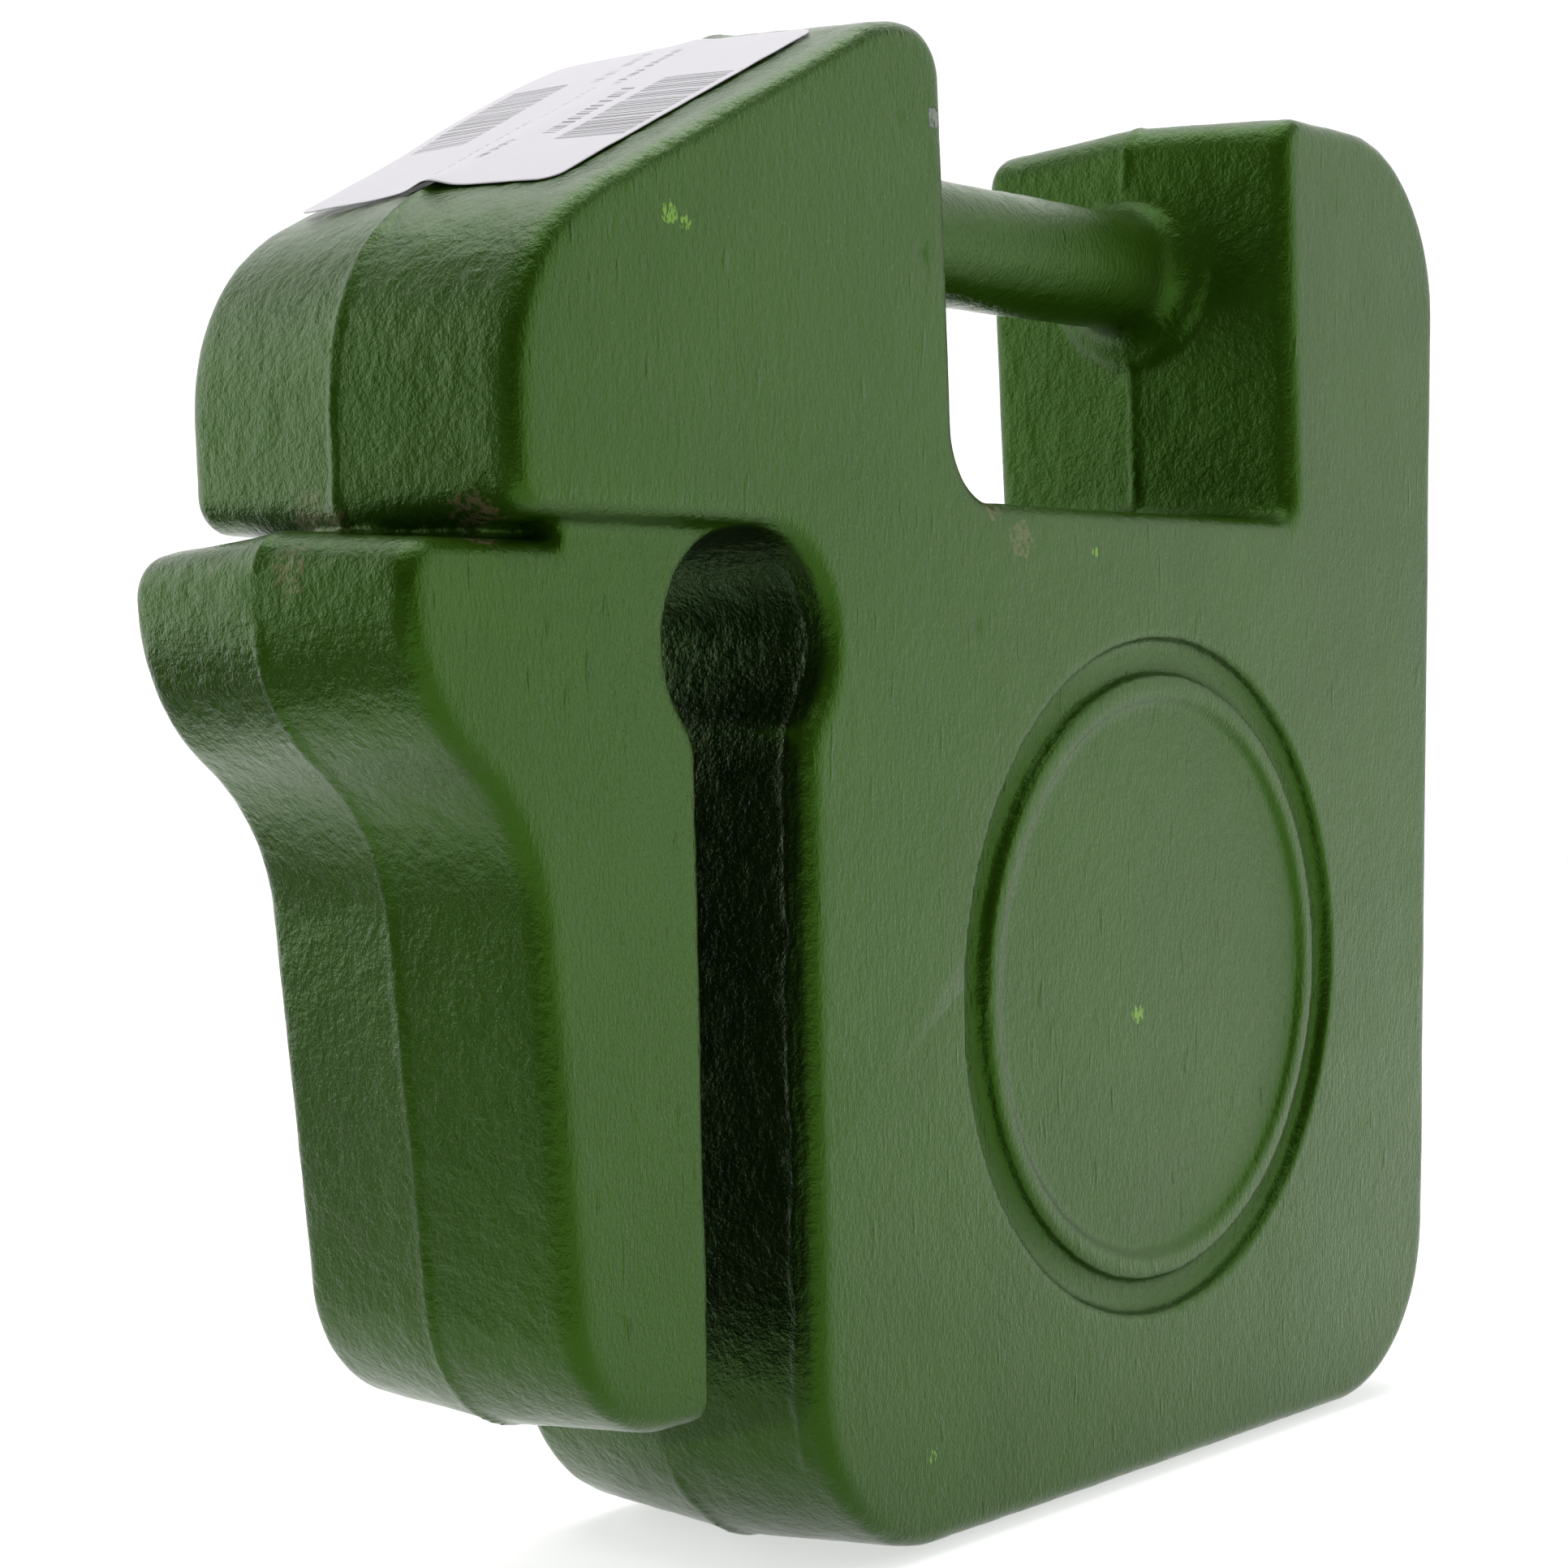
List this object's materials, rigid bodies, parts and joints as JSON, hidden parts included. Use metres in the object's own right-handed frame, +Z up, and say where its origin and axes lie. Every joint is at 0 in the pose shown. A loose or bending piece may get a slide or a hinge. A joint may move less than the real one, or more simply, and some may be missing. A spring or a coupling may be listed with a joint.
{
  "type": "tractor suitcase weight",
  "caption": "Green painted cast iron ballast weight with a hook and keyhole slot for a tractor's weight bracket, a cast-in carrying bar and a paper stock label.",
  "frame": {"origin": "on the ground under the middle of the weight's length and thickness", "axes": "+X from the hook towards the plain end, +Y through the thickness away from the panelled face, +Z up"},
  "size_m": [0.2628, 0.062, 0.228],
  "materials": {
    "green_enamel": "gloss enamel over rough iron",
    "label_paper": "matt"
  },
  "bodies": {
    "root": {"weight_casting": "green_enamel", "paper_label": "label_paper"}
  },
  "joints": []
}
